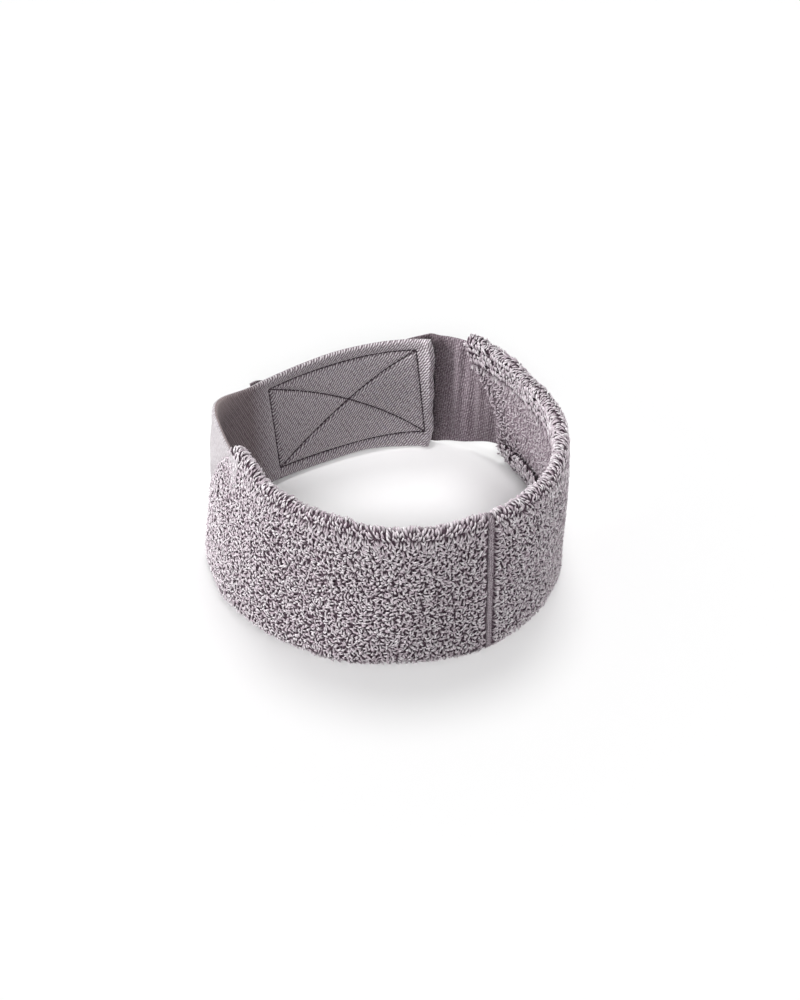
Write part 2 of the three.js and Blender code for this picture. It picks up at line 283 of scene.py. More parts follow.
def yarn_material(name, root, dull, bright, twist=9.0, sheen=0.3):
    """Cotton yarn with painted shade darkening each loop towards its feet, each loop its own tone, with a two-ply
    twist.
    """
    material, tree, principled = shader(name, 0.85, sheen)
    uv = node(tree, "ShaderNodeUVMap", uv_map="Yarn").outputs[0]
    split = node(tree, "ShaderNodeSeparateXYZ", {0: uv})
    seed, along = split.outputs[0], split.outputs[1]
    tip = maths(tree, "SINE", maths(tree, "MULTIPLY", along, math.pi))
    shade = ramp(tree, seed, [(0.0, dull), (1.0, bright)])
    fleck = noise(tree, 1500.0, 2.0)
    shade = mix(tree, maths(tree, "MULTIPLY", fleck, 0.25), shade, dull)
    # Painted shade: each loop fades to the dark root colour at its feet, where the loops shade each other.
    colour = mix(tree, maths(tree, "POWER", tip, 0.8), root, shade)
    tree.links.new(colour, principled.inputs["Base Color"])
    ply = maths(tree, "SINE", maths(tree, "MULTIPLY", along, twist * 2 * math.pi))
    bump(tree, principled, maths(tree, "ADD", maths(tree, "MULTIPLY", ply, 0.35), fleck), 0.00012, 0.6)
    return material


def ground_material(name, dark, light, scale=900.0):
    """The knitted base the loops stand on, nearly hidden by them."""
    material, tree, principled = shader(name, 0.95, 0.1)
    mottled = noise(tree, scale, 3.0)
    tree.links.new(ramp(tree, mottled, [(0.35, dark), (0.7, light)]), principled.inputs["Base Color"])
    bump(tree, principled, mottled, 0.0003)
    return material


def cloth_material(name, dark, middle, light, pitch, slope, fleck_scale=1.0, sheen=0.3, depth=0.00018,
                   painted_shading=None, contrast=0.7, painted_lit_rim=False):
    """A woven or knitted face: fine ribs of that pitch in millimetres, with heathered flecks."""
    material, tree, principled = shader(name, 0.9, sheen)
    uv = node(tree, "ShaderNodeUVMap", uv_map="Cloth").outputs[0]
    split = node(tree, "ShaderNodeSeparateXYZ", {0: uv})
    s, z = split.outputs[0], split.outputs[1]
    drift = maths(tree, "MULTIPLY", noise(tree, 0.16, 2.0, uv), 1.2)
    across = maths(tree, "ADD", maths(tree, "ADD", s, maths(tree, "MULTIPLY", z, slope)), drift)
    rib = maths(tree, "SINE", maths(tree, "MULTIPLY", across, 2 * math.pi / pitch))
    float_length = maths(tree, "MULTIPLY", z, 2 * math.pi / (pitch * 1.7))
    shift = maths(tree, "MULTIPLY", across, math.pi / pitch)
    pick = maths(tree, "SINE", maths(tree, "ADD", float_length, shift))
    weave = maths(tree, "ADD", maths(tree, "MULTIPLY", rib, 0.5), maths(tree, "MULTIPLY", pick, 0.3))
    fleck_size = (1.2 * fleck_scale, 0.5 * fleck_scale, 1)
    stretched = node(tree, "ShaderNodeMapping", {"Vector": uv, "Scale": fleck_size})
    fleck = noise(tree, 1.0, 3.0, stretched.outputs[0], 0.65)
    tone = maths(tree, "ADD", maths(tree, "MULTIPLY", maths(tree, "SUBTRACT", fleck, 0.5), 1.9), 0.5)
    tone = maths(tree, "ADD", tone, maths(tree, "MULTIPLY", weave, contrast), True)
    colour = ramp(tree, tone, [(0.1, dark), (0.5, middle), (0.92, light)])
    # Painted light: the tab's upper rim at its turn is lightened towards white, where its fuzz catches the left
    # lamp.
    if painted_lit_rim:
        from_s, to_s = (float(arc_length(d)) for d in (148, 166))
        along = between(tree, s, from_s, to_s)
        height = between(tree, z, 58.0, 73.0)
        lit_rim = maths(tree, "MULTIPLY", maths(tree, "POWER", height, 1.5), along, True)
        lit_rim = maths(tree, "MULTIPLY", lit_rim, maths(tree, "ADD", fleck, 0.35), True)
        colour = mix(tree, lit_rim, colour, (1.0, 0.93, 0.93))
    # Painted light and shade along the wall: the colour is multiplied by a ramp of brightness.
    if painted_shading:
        first, last = painted_shading[0][0], painted_shading[-1][0]
        place = between(tree, s, first, last)
        stops = [((at_s - first) / (last - first), (k, k * warm, k * warm)) for at_s, k, warm in painted_shading]
        colour = mix(tree, 1.0, colour, ramp(tree, place, stops), "MULTIPLY")
    tree.links.new(colour, principled.inputs["Base Color"])
    bump(tree, principled, maths(tree, "ADD", weave, maths(tree, "MULTIPLY", fleck, 0.8)), depth)
    return material


def grey(value, warmth=1.0):
    """The mauve grey of the whole piece at one brightness."""
    return (value * (1.0 + 0.075 * warmth), value * (1 - 0.075 * warmth), value * (1.0 + 0.015 * warmth))


# Painted shade: the first colour of each yarn is the dark one at its loops' feet.
TERRY = yarn_material("terry_loops", grey(0.07, 3.0), grey(0.56, 1.2), grey(0.95, 0.2))
FLAT_TERRY = yarn_material("terry_flattened", grey(0.12, 2.6), grey(0.46, 1.3), grey(0.88, 0.5))
# Painted shade: the terry's base cloth is coloured near black for the shade in the gaps between its loops.
PAINTED_SHADE_GROUND = ground_material("terry_ground", grey(0.035, 3.4), grey(0.11, 2.8))
FACING = ground_material("facing_knit", grey(0.16, 2.0), grey(0.34, 1.2), 700.0)


def painted_shading_at(*stops):
    """Painted light and shade: brightness and warmth at angles round the ring, as lengths along the wall."""
    return [(float(arc_length(deg)), bright, warm) for deg, bright, warm in stops]


# Painted light and shade: the tab's inside grows darker from its free end to past the ridge beside its box
# stitching, where the left lamp doesn't reach, and the strap's inside is darker beside the tab's end, in the tab's
# shadow, and a little by its root.
TAB_PAINTED_SHADING = painted_shading_at((74, 1.06, 1.0), (100, 0.9, 1.0), (143, 0.72, 0.99), (152, 0.34, 0.86),
                       (185, 0.27, 0.82), (205, 0.34, 0.88))
TWILL = cloth_material("twill", grey(0.15, 1.7), grey(0.31, 1.1), grey(0.80, 0.4), 1.5, 0.62,
                       painted_shading=TAB_PAINTED_SHADING, contrast=1.1, painted_lit_rim=True)
STRAP_PAINTED_SHADING = painted_shading_at((405, 0.95, 1.0), (416, 0.8, 0.98), (424, 1.15, 1.0), (430, 0.85, 0.98),
                         (434.5, 0.5, 0.94), (444, 0.5, 0.94))
TAB_FACE = cloth_material("tab_face", grey(0.22, 0.9), grey(0.37, 0.6), grey(0.56, 0.3), 1.1, 0.15)
NAP = yarn_material("brushed_nap", grey(0.16, 1.8), grey(0.26, 1.2), grey(0.44, 0.8), 0.0)
JERSEY = cloth_material("jersey", grey(0.22, 0.9), grey(0.38, 0.6), grey(0.58, 0.3), 1.2, 0.12, 0.9)
BRUSHED = cloth_material("brushed_lining", grey(0.08, 2.4), grey(0.19, 1.7), grey(0.50, 0.8), 1.2, 0.12, 1.3,
                         painted_shading=STRAP_PAINTED_SHADING, contrast=0.3)
TAPE = cloth_material("hook_tape", grey(0.10, 1.2), grey(0.16, 1.0), grey(0.24, 0.8), 1.6, 0.0, 1.0, 0.05)
HOOKS = yarn_material("hook_filament", grey(0.14), grey(0.26), grey(0.34), 0.0, 0.0)
SEAM_KNIT = cloth_material("seam_knit", grey(0.09, 2.2), grey(0.24, 1.4), grey(0.44, 0.8), 0.85, 0.0, 1.4)
DARK_THREAD = yarn_material("dark_thread", grey(0.03, 2), grey(0.045, 2), grey(0.08, 2), 5.0, 0.0)
GREY_THREAD = yarn_material("grey_thread", grey(0.08), grey(0.20), grey(0.32), 5.0, 0.0)

# ---------------------------------------------------------------- terry

GROUND_HALF = 0.4    # half the base cloth's thickness
FOLD = 1.9           # half the gap between the two faces of the folded cloth
FOLD_TOP = 72.6      # centre of the upper fold
FOLD_LOW = 3.4       # centre of the lower fold
HEM_TOP = 58.5       # end of the upper turned-in hem
HEM_LOW = 14.0

LOOP_PITCH, LOOP_ROW = 1.22, 1.42    # loop feet along the ring and down the cloth
HEM_ROW = 3.1        # rows of loops on the turned-in hems
FACING_LOW, FACING_HIGH = 9.0, 66.0
FACING_START, FACING_LAST = 206.6, 406.2
SEAM_HALF = 0.25     # degrees from the seam to each panel's edge
MIDDLE = HEIGHT / 2

TOP_START = FOLD_TOP - HEM_TOP
TOP_END = TOP_START + math.pi * FOLD
LOW_START = TOP_END + FOLD_TOP - FOLD_LOW
LOW_END = LOW_START + math.pi * FOLD
CUT = LOW_END + HEM_LOW - FOLD_LOW


def left_end(z):
    """Angle where the terry starts, further round at the top than at the bottom."""
    return 184.5 + 16.3 * np.clip((z - 40) / 35, 0, 1) ** 1.15


def right_end(z):
    """Angle where the terry ends, with its lower corner cut back."""
    return 408.5 + 13.5 * ease(z, 24, 72) - 6.0 * ease(-np.asarray(z, float), -9, 0)


def profile(p):
    """Cross-section of the folded cloth: (n, z, normal n, normal z) at p along it."""
    p = np.asarray(p, float)
    top = np.clip((p - TOP_START) / FOLD, 0, math.pi)
    low = np.clip((p - LOW_START) / FOLD, 0, math.pi)
    turn = top + low
    n = -FOLD * np.cos(top) - FOLD * (1 - np.cos(low))
    z = HEM_TOP + np.minimum(p, TOP_START) + FOLD * np.sin(top)
    z = z - np.clip(p - TOP_END, 0, LOW_START - TOP_END) - FOLD * np.sin(low) + np.maximum(p - LOW_END, 0)
    return n, z, -np.cos(turn), np.sin(top) - np.sin(low)


WAVES = [(rng.uniform(-1, 1) * 0.9, rng.uniform(0.05, 0.28), rng.uniform(-0.12, 0.12), rng.uniform(0, 6.3))
         for _ in range(14)]


def waviness(deg, z):
    """Slow ripples of the soft wall, about half a millimetre deep."""
    s = arc_length(deg)
    return sum(a * 0.28 * np.sin(k * s + m * z + q) for a, k, m, q in WAVES)


def top_waviness(deg):
    """How far the upper rim rises, lower at the front and higher on both sides of it."""
    s = arc_length(deg)
    sag = 2.0 * np.exp(-((deg - 279) / 20) ** 2) - 1.3 * np.exp(-((deg - 234) / 13) ** 2)
    sag = sag - 1.1 * np.exp(-((deg - 318) / 13) ** 2)
    return 0.35 * np.sin(0.21 * s + 1.0) + 0.3 * np.sin(0.43 * s + 2.0) + 0.22 * np.sin(0.9 * s) - sag


def hang(deg, z):
    """How far the soft wall strays outward from the CAD wall, by angle and height."""
    a = np.mod(deg, 360)
    left_foot = ease(a, 196, 212) * (1 - ease(a, 246, 268))
    left_rim = np.where(a > 180, 1 - ease(a, 206, 232), 0)
    far_rim = np.where(a < 180, ease(a, 8, 34), 0) * ease(z, 35, 75)
    right = np.where(a > 180, ease(a, 300, 338), 1 - ease(a, 0, 30))
    return (right * (2.9 * ease(z, 10, 60) + 0.5) - 1.9 * far_rim + left_foot * 2.2 * (1 - ease(z, 5, 55))
            - left_rim * 2.6 * ease(z, 40, 75))


def terry_point(deg, p, off):
    """A point of the base cloth, off millimetres out of its middle, kept above the floor."""
    n, z, nn, nz = profile(p)
    lift = (top_waviness(deg) + 2.4 * (1 - ease(deg, 206, 232))) * ease(z, 40, 75)
    stray = waviness(deg, z) + hang(deg, z)
    return ring(n - GROUND_HALF + off * nn + stray, deg, np.maximum(z + off * nz + lift, 0.15))


def terry_frame(deg, p):
    """Position and unit vectors along the ring, along the profile and out of the cloth."""
    here = terry_point(deg, p, GROUND_HALF)
    tangent = unit(terry_point(deg + 0.3, p, GROUND_HALF) - here)
    down = unit(terry_point(deg, p + 0.4, GROUND_HALF) - terry_point(deg, p - 0.4, GROUND_HALF))
    out = unit(np.cross(down, tangent))
    return here, tangent, np.cross(tangent, out), out


def stations(start, end, step, rim):
    """Positions from start to end, closer together at both rims."""
    middle = np.linspace(start + rim[-1], end - rim[-1], max(2, int((end - start - 2 * rim[-1]) / step) + 1))
    rim = np.array(rim[:-1])
    return np.concatenate([start + rim, middle, end - rim[::-1]])


def round_rim(distance, radius, half):
    """Half thickness of a sheet that far from its edge."""
    t = np.clip(distance / radius, 0, 1)
    return half * np.sqrt(1 - (1 - t) ** 2)


def terry_ground(name, from_deg, to_deg):
    p = stations(0, CUT, 1.6, [0, 0.15, 0.4])
    u = np.linspace(0, 1, int(abs(float(to_deg(40) - from_deg(40))) * 0.75))
    u = np.concatenate([[0, 0.0012], u[1:-1], [0.9988, 1]])
    z = profile(p)[1]
    deg = from_deg(z)[None] * (1 - u[:, None]) + to_deg(z)[None] * u[:, None]
    pp = np.broadcast_to(p, deg.shape)
    edge = np.minimum(np.minimum(p, CUT - p)[None], np.minimum(u, 1 - u)[:, None] * 160)
    half = round_rim(edge, 0.4, GROUND_HALF)
    uv = np.stack([arc_length(deg), pp], -1)
    return pillow(name, terry_point(deg, pp, -half), terry_point(deg, pp, half), PAINTED_SHADE_GROUND, uv)


def leaning_loops(here, tangent, down, out, angle, length, height, curl, spread, base=-0.25):
    """Centrelines of terry loops. Each rises from two close feet and lies over along its angle."""
    t = np.array([0, 0.14, 0.32, 0.5, 0.68, 0.86, 1.0])
    a = np.sin(np.pi * t)
    length, height, curl, spread = (np.asarray(x, float)[:, None] for x in (length, height, curl, spread))
    x = length * a ** 1.3 - 0.3 * length
    h = base + (height - base) * np.sin(np.minimum(1, 1.5 * a) * np.pi / 2) - 0.15 * height * a ** 4
    e = spread * np.cos(np.pi * t) * (0.7 + 0.6 * a) + curl * a ** 2
    ahead = np.cos(angle)[:, None] * tangent + np.sin(angle)[:, None] * down
    aside = np.cross(out, ahead)
    return (here[:, None] + x[..., None] * ahead[:, None] + e[..., None] * aside[:, None]
            + h[..., None] * out[:, None])


def loop_positions(pitch_s, pitch_p, jitter, p_from, p_to):
    """Jittered rows of loop feet over the terry between both slanted ends, clear of the seam."""
    rows = np.arange(p_from + pitch_p / 2, p_to, pitch_p)
    found = []
    for k, row in enumerate(rows):
        first, last = arc_length(180.0), arc_length(425.0)
        s = np.arange(first + (k % 2) * pitch_s / 2, last, pitch_s)
        s = s + rng.uniform(-jitter, jitter, len(s)) * pitch_s
        p = row + rng.uniform(-jitter, jitter, len(s)) * pitch_p
        found.append(np.stack([angle_at(s), np.clip(p, 0.2, CUT - 0.2)], 1))
    found = np.concatenate(found)
    deg, p = found.T
    z = profile(p)[1]
    gap = np.abs(arc_length(deg) - arc_length(SEAM))
    keep = (deg > left_end(z) + 0.15) & (deg < right_end(z) - 0.15) & ((gap > 1.9) | (p < TOP_START + 1))
    return deg[keep], p[keep]


def terry_loops():
    """All the loops, with their lean: combed across both folded edges, curly between."""
    deg, p = loop_positions(LOOP_PITCH, LOOP_ROW, 0.42, 0, CUT)
    turned_in = (p < TOP_START + 1) | (p > LOW_END)
    kept = ~turned_in | (rng.random(len(p)) < 0.68)
    deg, p, turned_in = deg[kept], p[kept], turned_in[kept]
    row = np.round(p / HEM_ROW) * HEM_ROW + rng.normal(0, 0.28, len(p))
    p = np.clip(np.where(turned_in, row, p), 0.2, CUT - 0.2)
    here, tangent, down, out = terry_frame(deg, p)
    count = len(deg)
    crest = TOP_END + 1.2
    below = p - crest
    near_top = np.exp(-np.maximum(below, 0) / 5.5) * (below > 0)
    above = below <= 0
    near_low = np.exp(-np.maximum(LOW_END - 2 - p, 0) / 3.0) * (p > crest)
    inside = (p < TOP_START) | (p > LOW_END)
    order = np.clip(np.maximum(np.maximum(near_top, above * 1.0), np.maximum(near_low, inside * 1.0)), 0, 1)
    wander = rng.uniform(-np.pi, np.pi, count)
    cut_edge = np.minimum(p, CUT - p) < 2.2
    towards_start = (above & ~inside) | ((p < TOP_START) & cut_edge)
    stray, stray_inside = rng.normal(0, 0.28, count), rng.normal(0, 0.3, count)
    combed = np.where(towards_start, -np.pi / 2, np.pi / 2) + np.where(inside, stray_inside, stray)
    drift = 0.35 * np.sin(arc_length(deg) * 0.08)
    pick = rng.random(count) < order
    angle = np.where(pick, combed + drift, wander)
    coarse = np.where(inside, 1.5, 1.0)
    length = rng.uniform(1.5, 2.6, count) * np.where(pick, 1.3, 1.0) * np.where(inside, 1.25, 1.0)
    height = rng.uniform(0.55, 1.4, count) * np.where(inside, 1.45, 1.0)
    ends = np.minimum(deg - left_end(profile(p)[1]), right_end(profile(p)[1]) - deg)
    length = length * (0.6 + 0.4 * ease(ends, 0, 2.5))
    curl = rng.normal(0, 0.4, count) * np.where(pick, 0.5, 1.2)
    spread = rng.uniform(0.16, 0.25, count) * coarse
    gap = np.abs(arc_length(deg) - arc_length(SEAM))
    away = np.where(arc_length(deg) > arc_length(SEAM), 0.0, np.pi)
    parted = (gap < 3.4) & ~above
    angle = np.where(parted, away + rng.normal(0, 0.5, count), angle)
    low = profile(p)[1] < 5
    height = np.where(low, height * 0.7, height)
    lines = leaning_loops(here, tangent, down, out, angle, length, height, curl, spread)
    lines[..., 2] = np.maximum(lines[..., 2], 0.32)
    radius = (rng.uniform(0.19, 0.26, count) * coarse)[:, None] * YARN_TAPER
    by_angle = np.argsort(deg)
    return lines[by_angle], radius[by_angle]


YARN_TAPER = np.array([0.7, 0.95, 1.05, 1.1, 1.05, 0.95, 0.7])


def facing_point(deg, z, n):
    return ring(n + waviness(deg, z) + hang(deg, z), deg, z)


def facing_cloth(name, from_deg, to_deg):
    z = stations(FACING_LOW, FACING_HIGH, 2.2, [0, 0.15, 0.4])
    u = np.linspace(0, 1, int(abs(float(to_deg(40) - from_deg(40))) * 0.7))
    u = np.concatenate([[0, 0.0015], u[1:-1], [0.9985, 1]])
    deg = (from_deg(z) + 0.6)[None] * (1 - u[:, None]) + (to_deg(z) - 0.6)[None] * u[:, None]
    zz = np.broadcast_to(z, deg.shape)
    edge = np.minimum(np.minimum(z - FACING_LOW, FACING_HIGH - z)[None], np.minimum(u, 1 - u)[:, None] * 160)
    half = round_rim(edge, 0.4, 0.5)
    uv = np.stack([arc_length(deg), zz], -1)
    return pillow(name, facing_point(deg, zz, -0.1 - half), facing_point(deg, zz, -0.1 + half), FACING, uv)


def facing_pile():
    """The pressed, almost flat loops of the facing, and the coarser ones by its lower back corner."""
    pitch = 1.75
    rows = np.arange(9.5, 63.5, pitch)
    s, z = np.meshgrid(np.arange(arc_length(188.0), arc_length(421.0), pitch), rows)
    s = (s + rng.uniform(-0.45, 0.45, s.shape) * pitch).ravel()
    z = (z + rng.uniform(-0.45, 0.45, z.shape) * pitch).ravel()
    deg = angle_at(s)
    keep = (deg > left_end(z) + 0.8) & (deg < right_end(z) + 0.9)
    deg, z = deg[keep], z[keep]
    count = len(deg)
    depth = -0.6 - 0.8 * ease(deg - right_end(z), -3, 0)
    here = facing_point(deg, z, depth)
    tangent = unit(facing_point(deg + 0.3, z, depth) - here)
    up = unit(facing_point(deg, z + 0.4, depth) - here)
    out = unit(np.cross(up, tangent))
    coarse = ease(deg, 396, 403) * (1 - ease(z, 22, 36))
    angle = -np.pi / 3 + rng.normal(0, 0.45, count) + coarse * rng.normal(0, 1.2, count)
    height = rng.uniform(0.25, 0.65, count) + coarse * rng.uniform(0.4, 1.1, count)
    length = rng.uniform(1.9, 3.1, count)
    curl = rng.normal(0, 0.3, count)
    lines = leaning_loops(here, tangent, up, out, angle, length, height, curl, np.full(count, 0.22), -0.3)
    radius = rng.uniform(0.22, 0.3, count)[:, None] * YARN_TAPER
    return lines, radius


def panel_blend(obj):
    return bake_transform(obj, "band", "side_panel", frame_point(0, 290, MIDDLE), frame_point(0, 312, MIDDLE))


def at(deg):
    """A panel's upright edge, as a function of height like the slanted ones."""
    return lambda z: np.full(np.shape(z), float(deg))


front_ground = terry_ground("front_terry_cloth", left_end, at(SEAM - SEAM_HALF))
side_ground = terry_ground("side_terry_cloth", at(SEAM + SEAM_HALF), right_end)
front_facing = facing_cloth("front_facing_cloth", at(FACING_START), at(SEAM - SEAM_HALF))
side_facing = facing_cloth("side_facing_cloth", at(SEAM + SEAM_HALF), at(FACING_LAST))

lines, radius = terry_loops()
parts = np.array_split(np.arange(len(lines)), 5)
pile = [tubes(f"terry_pile_{k + 1}", lines[i], radius[i], 4, TERRY) for k, i in enumerate(parts)]
lines, radius = facing_pile()
halves = np.array_split(np.arange(len(lines)), 2)
pressed = [tubes(f"facing_pile_{k + 1}", lines[i], radius[i], 4, FLAT_TERRY) for k, i in enumerate(halves)]

# ---------------------------------------------------------------- stitches

def stitch_lines(points, normals, pitch, radius, sink=0.0, fill=0.97):
    """Short thread arcs along a line of points, with the normal of the cloth at each."""
    step = np.linalg.norm(np.diff(points, axis=0), axis=1)
    length = np.concatenate([[0], np.cumsum(step)])
    count = max(1, int(length[-1] / pitch))
    starts = np.arange(count) * length[-1] / count
    t = np.linspace(0, 1, 6)
    where = starts[:, None] + t * length[-1] / count * fill
    line = np.stack([np.interp(where, length, points[:, k]) for k in range(3)], -1)
    normal = unit(np.stack([np.interp(where, length, normals[:, k]) for k in range(3)], -1))
    rise = np.array([-1.2, -0.1, 0.25, 0.25, -0.1, -1.2]) * radius - sink
    taper = np.array([0.8, 1, 1, 1, 1, 0.8]) * radius
    return line + normal * rise[:, None], np.broadcast_to(taper, where.shape)


def thread(name, runs, pitch, radius, material, sink=0.0):
    made = [stitch_lines(points, normals, pitch, radius, sink) for points, normals in runs]
    lines, sizes = (np.concatenate(both) for both in zip(*made))
    return tubes(name, lines, sizes, 6, material)


def hem_run(from_deg, to_deg, p):
    deg = np.linspace(from_deg, to_deg, 160)
    here, _, _, out = terry_frame(deg, np.full(160, p))
    return here, out


def seam_run(offset):
    p = np.linspace(TOP_START, LOW_END, 90)
    deg = np.full(90, SEAM + float(degrees_for(offset, SEAM)))
    here, _, _, out = terry_frame(deg, p)
    return here + out * 0.85, out


STITCH_HEIGHT = 3.6
hem_threads = [
    ("front_upper_hem_thread", "front_upper_hem_stitch", 205.0, SEAM - 1.2, STITCH_HEIGHT),
    ("front_lower_hem_thread", "front_lower_hem_stitch", 190.0, SEAM - 1.2, CUT - STITCH_HEIGHT),
    ("side_upper_hem_thread", "side_upper_hem_stitch", SEAM + 1.2, 418.5, STITCH_HEIGHT),
    ("side_lower_hem_thread", "side_lower_hem_stitch", SEAM + 1.2, 405.0, CUT - STITCH_HEIGHT),
]
for name, replaced, start, end, p in hem_threads:
    made = thread(name, [hem_run(start, end, p)], 3.0, 0.3, GREY_THREAD, -0.35)
    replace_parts(panel_blend(made), replaced)


def seam_strip():
    """The flat knitted strip over the panel seam, its columns standing up as fine ridges."""
    p = stations(TOP_START - 1.5, LOW_END, 1.0, [0, 0.15, 0.4])
    across = np.linspace(-1.35, 1.35, 19)
    shape = np.abs(np.sin(np.linspace(0, 3 * np.pi, 19))) ** 0.7 * 0.28
    deg = SEAM + degrees_for(across, SEAM)
    pp, dd = np.meshgrid(p, deg, indexing="ij")
    edge = np.minimum(np.minimum(p - p[0], p[-1] - p)[:, None], (1.35 - np.abs(across))[None])
    thick = round_rim(edge, 0.3, 1.0)
    over = terry_point(dd, pp, GROUND_HALF + (0.45 + shape[None]) * thick)
    under = terry_point(dd, pp, GROUND_HALF - 0.2 * thick)
    uv = np.stack([np.broadcast_to(across, pp.shape), pp], -1)
    return pillow("panel_seam_knit", over, under, SEAM_KNIT, uv)


strip = seam_strip()
for name, replaced, offset in (("panel_seam_front_thread", "panel_seam_front_stitch", -1.15),
                               ("panel_seam_side_thread", "panel_seam_side_stitch", 1.15)):
    made = thread(name, [seam_run(offset)], 2.6, 0.2, GREY_THREAD, 0.3)
    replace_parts(panel_blend(made), replaced)

panel_pieces = [
    (front_ground, "terry", ["front_terry_panel"]),
    (side_ground, "terry", ["side_terry_panel"]),
    (front_facing, "facing_knit", ["front_facing"]),
    (side_facing, "facing_knit", ["side_facing"]),
    (strip, "facing_knit", ["panel_seam_strip"]),
    *[(obj, "facing_knit", []) for obj in pressed],
    *[(obj, "terry", []) for obj in pile],
]
for obj, slot, nodes in panel_pieces:
    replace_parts(panel_blend(obj), *nodes)

# ---------------------------------------------------------------- soft bodies: the tab and the strap

def simulate(obj, pinned, pressure, cap):
    """Blows the piece up a little against its stitching, and keeps it within cap millimetres."""
    rest = np.array([v.co for v in obj.data.vertices])
    group = obj.vertex_groups.new(name="sewn")
    group.add([int(i) for i in np.flatnonzero(pinned)], 1.0, "REPLACE")
    cloth = obj.modifiers.new("cloth", "CLOTH")
    settings = cloth.settings
    settings.quality = 6
    settings.mass = 0.05
    settings.tension_stiffness = 12
    settings.compression_stiffness = 12
    settings.bending_stiffness = 0.4
    settings.use_pressure = True
    settings.uniform_pressure_force = pressure
    settings.vertex_group_mass = "sewn"
    settings.effector_weights.gravity = 0
    cloth.collision_settings.use_collision = False
    cloth.point_cache.frame_start, cloth.point_cache.frame_end = 1, 20
    scene = bpy.context.scene
    for f in range(1, 21):
        scene.frame_set(f)
    moved = obj.evaluated_get(bpy.context.evaluated_depsgraph_get()).to_mesh()
    co = np.array([v.co for v in moved.vertices])
    obj.modifiers.remove(cloth)
    scene.frame_set(1)
    shift = co - rest
    size = np.linalg.norm(shift, axis=1, keepdims=True)
    print(obj.name, "simulated, moved at most", round(float(size.max()) * 1000, 2), "mm")
    shift *= np.minimum(1, cap * 0.001 / np.maximum(size, 1e-9))
    obj.data.vertices.foreach_set("co", (rest + shift).astype(np.float32).ravel())
    obj.vertex_groups.clear()


def subdivide(obj):
    bpy.context.view_layer.objects.active = obj
    smooth = obj.modifiers.new("subdivision", "SUBSURF")
    smooth.levels = 1
    bpy.ops.object.modifier_apply(modifier=smooth.name)


def positions(obj):
    """The piece's points in millimetres, with the angle and height of each."""
    co = np.zeros(len(obj.data.vertices) * 3, np.float32)
    obj.data.vertices.foreach_get("co", co)
    co = co.reshape(-1, 3).astype(float) * 1000
    deg = np.degrees(np.arctan2(co[:, 1] - RING_CENTRE[1], co[:, 0] - RING_CENTRE[0])) % 360
    return co, deg


def line_distance(s, z, a, b, bow=0.0):
    """Distance to a stitching line from a to b that bows up by bow in its middle."""
    d = np.subtract(b, a)
    t = np.clip((s - a[0]) / d[0] if abs(d[0]) > abs(d[1]) else (z - a[1]) / d[1], 0, 1)
    z = z - bow * np.sin(np.pi * t)
    t = np.clip(((s - a[0]) * d[0] + (z - a[1]) * d[1]) / (d @ d), 0, 1)
    return np.hypot(s - a[0] - t * d[0], z - a[1] - t * d[1])


BOX = [(142.0, 60.0), (80.5, 62.6), (77.0, 10.5), (139.5, 9.0)]
box_sz = [(float(arc_length(d)), z) for d, z in BOX]
box_lines = [(box_sz[0], box_sz[1], 0.8), (box_sz[1], box_sz[2], 0), (box_sz[2], box_sz[3], -0.8),
             (box_sz[3], box_sz[0], 0), (box_sz[0], box_sz[2], 4.0), (box_sz[1], box_sz[3], 0.6)]

TAB_INNER, TAB_OUTER = -2.1, 0.7
TAB_HIDDEN_END = 208.0


def tab_shape(deg, z):
    """How far the plain cloth swells out of the CAD wall, round its turn at the left."""
    turn = ease(deg, 150, 174) * (1 - ease(deg - left_end(z), -9, 0))
    corner = np.exp(-((deg - 171) / 11) ** 2) * ease(z, 32, 62)
    return turn * 3.2 * np.sin(np.pi * np.clip((z - 4) / 62, 0, 1)) + 3.4 * corner


s_tab = stations(float(arc_length(TAB_END)), float(arc_length(TAB_HIDDEN_END)), 1.6, [0, 0.3, 0.8, 1.5])
z_tab = stations(PLAIN_LOW, PLAIN_HIGH, 1.6, [0, 0.3, 0.8, 1.5])
ss, zz = np.meshgrid(s_tab, z_tab, indexing="ij")
dd = angle_at(ss)
edge = np.minimum(ss - s_tab[0], np.minimum(zz - PLAIN_LOW, PLAIN_HIGH - zz))
belly = 1.8 * np.sin(np.pi * np.clip((dd - 90) / 66, 0, 1))
low_edge = PLAIN_LOW - 2.8 * (1 - ease(dd, 84, 104)) - 0.8 * ease(dd, 150, 170) - belly
low_edge = np.maximum(low_edge, 0.7)
high_edge = PLAIN_HIGH + 1.7 - 2.7 * ease(dd, 108, 143) + 8.6 * ease(dd, 147, 174)
zz = low_edge + (zz - PLAIN_LOW) * (high_edge - low_edge) / (PLAIN_HIGH - PLAIN_LOW)
hidden = ease(dd - left_end(zz), -2.5, 0.5)
half = round_rim(edge, 1.5, (TAB_OUTER - TAB_INNER) / 2 * (1 - 0.68 * hidden))
free = np.clip(1 - (ss - s_tab[0]) / 12, 0, 1)
bite = ease(np.abs(zz - 35), 27, 33) * 1.6 + 0.35 * np.sin(zz * 0.31) + 0.25 * np.sin(zz * 0.83 + 1)
dd = dd + degrees_for(bite * free, dd)
rim = np.minimum(ss - s_tab[0], np.minimum(zz - low_edge, high_edge - zz))
roll = 1.9 * np.exp(-((ss - s_tab[0] - 2.0) / 1.7) ** 2)
roll = roll + 0.45 * np.exp(-((rim - 2.0) / 1.5) ** 2) * (dd < 150)
centre = (TAB_INNER + TAB_OUTER) / 2 * (1 - hidden) + tab_shape(dd, zz)
ridge = 0.45 * np.exp(-((ss - float(arc_length(145.2))) / 0.9) ** 2)
over = ring(centre - half - roll * half / 1.4 - ridge, dd, zz)
under = ring(centre + half, dd, zz)
tab = pillow("tab_cloth", over, under, TWILL, np.stack([ss, zz], -1), TAB_FACE)

